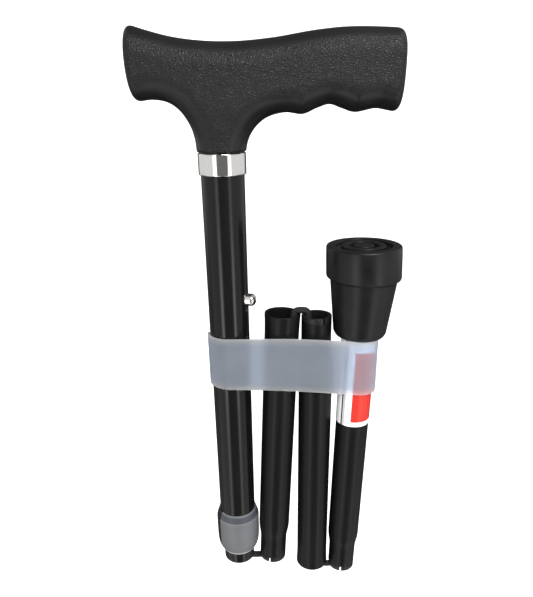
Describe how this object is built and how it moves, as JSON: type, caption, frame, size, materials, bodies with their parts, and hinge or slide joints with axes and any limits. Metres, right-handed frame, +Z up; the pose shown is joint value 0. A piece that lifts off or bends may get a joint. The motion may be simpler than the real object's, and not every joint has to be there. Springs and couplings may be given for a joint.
{
  "type": "folding cane",
  "caption": "Folding height-adjustable single point cane, folded: derby handle, tube sections on an elastic cord, rubber tip and a strap round them.",
  "frame": {"origin": "middle of the bounding box's footprint, level with the cord's lowest bight", "axes": "+Z up along the upper tube towards the handle, +X towards the handle's palm end and the folded sections, +Y away from the side that the picture shows; all tube axes lie in the plane Y = 0"},
  "size_m": [0.137, 0.0408, 0.3248],
  "materials": {
    "handle_plastic": "moulded leather grain",
    "inner_plastic": "moulded, semi-matte",
    "chrome": "polished",
    "black_tube": "black anodised aluminium, glossy",
    "clear_sleeve": "translucent, satin",
    "frosted_band": "frosted translucent",
    "nickel": "nickel plated",
    "steel": "zinc plated",
    "elastic_cord": "braided",
    "tip_rubber": "moulded, matte",
    "label_film": "printed film"
  },
  "bodies": {
    "handle_section": {"handle_grip": "handle_plastic", "tube_plug": "inner_plastic", "chrome_collar": "chrome", "outer_tube": "black_tube", "locking_sleeve": "clear_sleeve"},
    "folding_band": {"folding_band": "frosted_band"},
    "inner_section": {"inner_tube": "black_tube", "glide_bush": "inner_plastic", "cord_anchor_top": "steel", "button_spring": "steel", "cord_run_1": "elastic_cord"},
    "snap_button": {"snap_button": "nickel"},
    "cord_link_1": {"cord_bridge_1": "elastic_cord"},
    "section_2": {"section_2_tube": "black_tube", "spigot_ring_2": "inner_plastic", "cord_run_2": "elastic_cord"},
    "cord_link_2": {"cord_bridge_2": "elastic_cord"},
    "section_3": {"section_3_tube": "black_tube", "spigot_ring_3": "inner_plastic", "cord_run_3": "elastic_cord"},
    "cord_link_3": {"cord_bridge_3": "elastic_cord"},
    "section_4": {"section_4_tube": "black_tube", "spigot_ring_4": "inner_plastic", "cord_run_4": "elastic_cord", "cord_anchor_bottom": "inner_plastic", "rubber_tip": "tip_rubber", "tip_washer": "steel", "label": "label_film"}
  },
  "joints": [
    {"name": "height_slide", "type": "slide", "parent": "handle_section", "child": "inner_section", "axis": [0, 0, -1], "range_m": [0, 0.1016], "deforming": ["snap_button", "button_spring"]},
    {"name": "band_slide", "type": "slide", "parent": "handle_section", "child": "folding_band", "axis": [0, 0, -1], "range_m": [0, 0.078], "deforming": ["folding_band"]},
    {"name": "button_press", "type": "slide", "parent": "inner_section", "child": "snap_button", "axis": [-0.9613, 0.2756, 0], "range_m": [0, 0.0042], "stiffness_N_per_m": 800},
    {"name": "seat_1", "type": "slide", "parent": "inner_section", "child": "cord_link_1", "axis": [0, 0, 1], "range_m": [0, 0.0185], "deforming": ["cord_run_1", "cord_bridge_1"]},
    {"name": "fold_1", "type": "hinge", "parent": "cord_link_1", "child": "section_2", "pos_m": [-0.01513, 0, 0.01199], "axis": [0, 1, 0], "range_deg": [0, 177.56]},
    {"name": "seat_2", "type": "slide", "parent": "section_2", "child": "cord_link_2", "axis": [-0.0425, 0, -0.9991], "range_m": [0, 0.0185], "deforming": ["cord_run_2", "cord_bridge_2"]},
    {"name": "fold_2", "type": "hinge", "parent": "cord_link_2", "child": "section_3", "pos_m": [0.01302, 0, 0.18413], "axis": [0, 1, 0], "range_deg": [-177.56, 0]},
    {"name": "seat_3", "type": "slide", "parent": "section_3", "child": "cord_link_3", "axis": [0, 0, 1], "range_m": [0, 0.0185], "deforming": ["cord_run_3", "cord_bridge_3", "cord_run_4"]},
    {"name": "fold_3", "type": "hinge", "parent": "cord_link_3", "child": "section_4", "pos_m": [0.03254, 0, 0.00421], "axis": [0, 1, 0], "range_deg": [0, 178.5]}
  ],
  "couplings": [
    {"joint": "fold_2", "follows": "fold_1", "ratio": -1},
    {"joint": "fold_3", "follows": "fold_1", "ratio": 1.0053},
    {"joint": "seat_2", "follows": "seat_1", "ratio": 1},
    {"joint": "seat_3", "follows": "seat_1", "ratio": 1}
  ]
}
